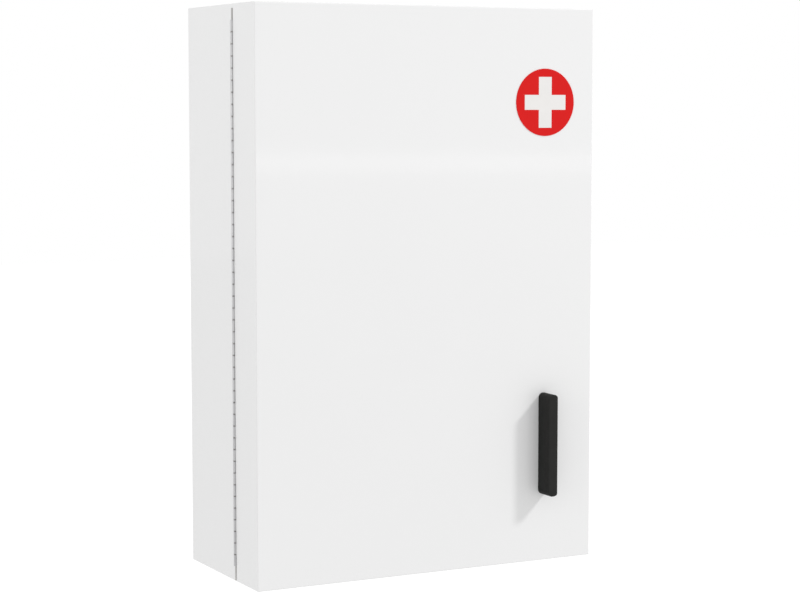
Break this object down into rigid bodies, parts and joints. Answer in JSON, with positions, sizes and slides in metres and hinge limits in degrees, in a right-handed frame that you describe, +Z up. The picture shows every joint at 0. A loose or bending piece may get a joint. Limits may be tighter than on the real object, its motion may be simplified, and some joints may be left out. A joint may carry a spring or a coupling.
{
  "type": "lockable medicine cabinet",
  "caption": "White sheet-steel wall cabinet with one deep pan door on a piano hinge, a black bar handle, a red badge with a white cross, inner shelves, door bins and a side cam lock.",
  "frame": {"origin": "centre of the four wall holes, on the back face that lies on the wall, which is the middle of the cabinet's width and height", "axes": "+X to the right seen from the front, +Y into the wall, +Z up; the door faces -Y and its hinge is at -X"},
  "size_m": [0.4228, 0.199, 0.6],
  "materials": {
    "powder_coat": "smooth semi-gloss white powder coat",
    "handle_black": "satin black moulding",
    "badge_red": "satin printed film",
    "badge_white": "satin printed film",
    "zinc_plate": "bright zinc plate",
    "hinge_steel": "dull rolled steel strip, plated",
    "lock_chrome": "bright nickel-chrome plate",
    "wafer_brass": "stamped",
    "key_nickel": "nickel plate",
    "catch_plastic": "moulded",
    "magnet": "nickel-plated magnet",
    "buffer_rubber": "soft"
  },
  "bodies": {
    "cabinet": {"body_side_left": "powder_coat", "body_side_right": "powder_coat", "body_top": "powder_coat", "body_bottom": "powder_coat", "back_panel": "powder_coat", "upright_left_front": "powder_coat", "upright_left_rear": "powder_coat", "upright_right_front": "powder_coat", "upright_right_rear": "powder_coat", "shelf_clips_upper": "zinc_plate", "shelf_clips_lower": "zinc_plate", "hinge_body_leaf": "hinge_steel", "hinge_pin": "hinge_steel", "hinge_body_rivets": "hinge_steel", "catch_housings": "catch_plastic", "catch_magnets": "magnet", "door_buffers": "buffer_rubber"},
    "shelf_upper": {"shelf_upper": "powder_coat"},
    "shelf_lower": {"shelf_lower": "powder_coat"},
    "door": {"door_pan": "powder_coat", "hinge_door_leaf": "hinge_steel", "hinge_door_rivets": "hinge_steel", "door_bin_top": "powder_coat", "door_bin_middle": "powder_coat", "door_bin_bottom": "powder_coat", "handle": "handle_black", "handle_screws": "zinc_plate", "handle_washers": "zinc_plate", "badge_disc": "badge_red", "badge_cross": "badge_white", "lock_housing": "lock_chrome", "lock_washer": "zinc_plate", "lock_nut": "zinc_plate"},
    "lock_plug": {"lock_plug": "lock_chrome", "lock_wafers": "wafer_brass", "lock_cam": "zinc_plate", "cam_washer": "zinc_plate", "cam_screw": "zinc_plate"},
    "key": {"key": "key_nickel"}
  },
  "joints": [
    {"name": "door_swing", "type": "hinge", "parent": "cabinet", "child": "door", "pos_m": [-0.2005, -0.12025, 0], "axis": [0, 0, -1], "range_deg": [0, 180]},
    {"name": "shelf_upper_lift", "type": "slide", "parent": "cabinet", "child": "shelf_upper", "axis": [0, 0, 1], "range_m": [0, 0.03]},
    {"name": "shelf_lower_lift", "type": "slide", "parent": "cabinet", "child": "shelf_lower", "axis": [0, 0, 1], "range_m": [0, 0.03]},
    {"name": "lock_turn", "type": "hinge", "parent": "door", "child": "lock_plug", "pos_m": [0.2, -0.14, -0.1707], "axis": [1, 0, 0], "range_deg": [0, 90]},
    {"name": "key_pull", "type": "slide", "parent": "lock_plug", "child": "key", "axis": [1, 0, 0], "range_m": [0, 0.03]}
  ]
}
